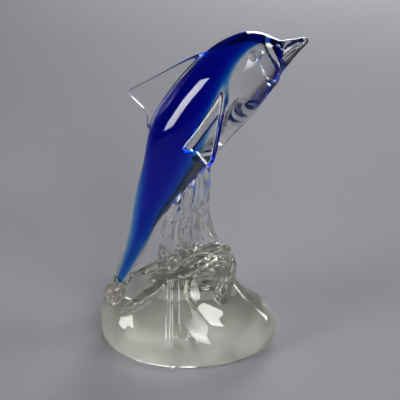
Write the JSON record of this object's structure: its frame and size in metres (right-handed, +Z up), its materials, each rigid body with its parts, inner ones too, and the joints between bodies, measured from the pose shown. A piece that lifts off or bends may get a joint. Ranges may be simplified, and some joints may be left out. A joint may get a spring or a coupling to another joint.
{
  "type": "figurine",
  "caption": "Leaping dolphin of solid clear glass with a cased blue core, clear fins and beak, held by a splash on a rounded wave base.",
  "frame": {"origin": "on the surface the figurine stands on, below the middle of its bounding box", "axes": "+Z up, +X the way the dolphin swims, -Y the side its right flank faces"},
  "size_m": [0.1536, 0.1, 0.2506],
  "materials": {
    "clear_glass": "fire-polished clear crystal glass",
    "base_glass": "fire-polished clear glass with a faint straw-green tint, ground flat underneath",
    "blue_glass": "transparent cobalt blue glass, cased in clear",
    "frosted_glass": "crumpled, half frosted clear glass with a faint rosy tint"
  },
  "bodies": {
    "root": {"wave_base": "base_glass", "wave_crest": "base_glass", "splash_strand_left": "clear_glass", "splash_strand_middle": "clear_glass", "splash_strand_right": "clear_glass", "splash_strand_back": "clear_glass", "body_casing": "clear_glass", "colour_core": "blue_glass", "beak": "clear_glass", "eye_left": "clear_glass", "eye_right": "clear_glass", "dorsal_fin": "clear_glass", "flipper_left": "clear_glass", "flipper_right": "clear_glass", "tail_seal": "frosted_glass"}
  },
  "joints": []
}
